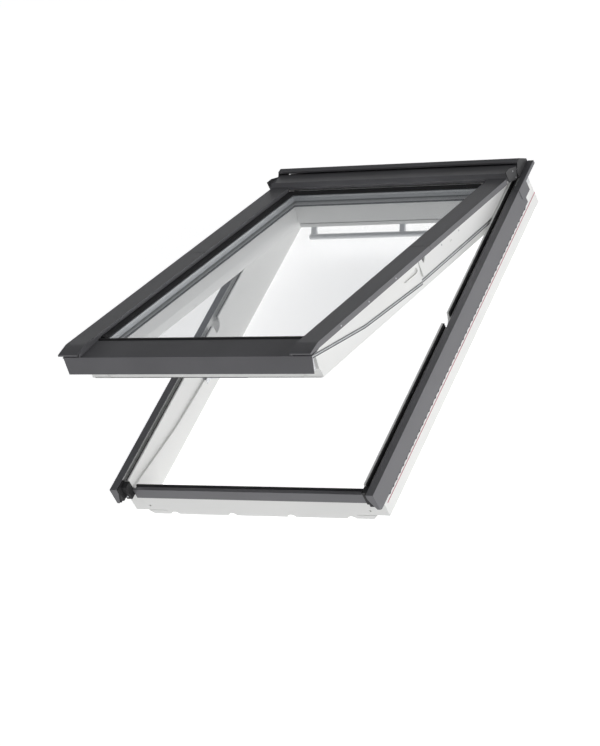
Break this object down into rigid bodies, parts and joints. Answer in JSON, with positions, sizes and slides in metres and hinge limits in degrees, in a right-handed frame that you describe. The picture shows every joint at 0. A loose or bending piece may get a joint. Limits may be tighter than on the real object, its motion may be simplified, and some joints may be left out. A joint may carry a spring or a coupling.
{
  "type": "roof window",
  "caption": "Top-hung roof window with centre pivot: white frame and sash, dark grey covers, double glazing, ventilation flap.",
  "frame": {"origin": "centre of the frame's footprint, on its underside", "axes": "+X across the window, +Y up the roof slope towards the top hinge, +Z out of the roof"},
  "size_m": [0.8072, 1.254, 0.5648],
  "materials": {
    "white_lacquer": "satin white lacquer over timber",
    "white_steel": "satin white paint",
    "cover_grey": "fine matt dark grey",
    "black_rubber": "matt black",
    "grey_seal": "light grey",
    "black_foam": "dark grey pleated strip",
    "red_tape": "red marking line",
    "label_sheet": "bare plate",
    "zinc_steel": "zinc plated",
    "spacer_metal": "perforated spacer",
    "clear_glass": "clear, faintly blue",
    "bar_aluminium": "satin anodised"
  },
  "bodies": {
    "frame": {"frame_bottom_rail": "white_lacquer", "frame_top_rail": "white_lacquer", "frame_left_stile": "white_lacquer", "frame_right_stile": "white_lacquer", "frame_left_cover": "cover_grey", "frame_right_cover": "cover_grey", "frame_left_upper_cover": "cover_grey", "frame_right_upper_cover": "cover_grey", "frame_bottom_cover": "cover_grey", "frame_top_cover": "cover_grey", "frame_left_gasket": "black_rubber", "frame_right_gasket": "black_rubber", "frame_bottom_gasket": "black_rubber", "corner_block_left": "black_rubber", "corner_block_right": "black_rubber", "wavy_strip_left": "black_foam", "wavy_strip_right": "black_foam", "red_line_left": "red_tape", "red_line_right": "red_tape", "data_plate": "label_sheet", "hinge_bracket_left": "zinc_steel", "hinge_bracket_right": "zinc_steel", "hinge_pins": "zinc_steel", "frame_top_cap": "cover_grey", "striker_plate": "zinc_steel", "guide_plate_left": "zinc_steel", "guide_plate_right": "zinc_steel", "frame_screws": "zinc_steel"},
    "arms": {"arm_left": "white_steel", "arm_right": "white_steel", "hood": "cover_grey", "hood_end_left": "cover_grey", "hood_end_right": "cover_grey", "upper_cover_left": "cover_grey", "upper_cover_right": "cover_grey", "hood_screws": "zinc_steel"},
    "sash": {"sash_bottom_rail": "white_lacquer", "sash_top_rail": "white_lacquer", "sash_left_stile": "white_lacquer", "sash_right_stile": "white_lacquer", "outer_pane": "clear_glass", "inner_pane": "clear_glass", "spacer_frame": "spacer_metal", "glazing_gasket": "black_rubber", "lower_cover_left": "cover_grey", "lower_cover_right": "cover_grey", "sash_bottom_cover": "cover_grey", "side_seal_left": "grey_seal", "side_seal_right": "grey_seal", "bottom_seal": "black_rubber", "corner_plate_left": "zinc_steel", "corner_plate_right": "zinc_steel", "pivot_hinge_left": "zinc_steel", "pivot_hinge_right": "zinc_steel", "lock_case": "zinc_steel", "sash_screws": "zinc_steel", "handle_base": "bar_aluminium"},
    "flap": {"ventilation_flap": "white_lacquer", "control_bar": "bar_aluminium"},
    "handle": {"handle_grip": "bar_aluminium"}
  },
  "joints": [
    {"name": "top_hinge", "type": "hinge", "parent": "frame", "child": "arms", "pos_m": [0, 0.563, 0.131], "axis": [-1, 0, 0], "range_deg": [-20.8, 24.2]},
    {"name": "centre_pivot", "type": "hinge", "parent": "arms", "child": "sash", "pos_m": [0, 0.03553, 0.3335], "axis": [-1, 0, 0], "range_deg": [0, 100]},
    {"name": "flap_hinge", "type": "hinge", "parent": "sash", "child": "flap", "pos_m": [0, 0.48701, 0.06894], "axis": [1, 0, 0], "range_deg": [0, 35]},
    {"name": "handle_turn", "type": "hinge", "parent": "sash", "child": "handle", "pos_m": [0, -0.49521, 0.426], "axis": [0, 0.3551, 0.9348], "range_deg": [0, 90]}
  ]
}
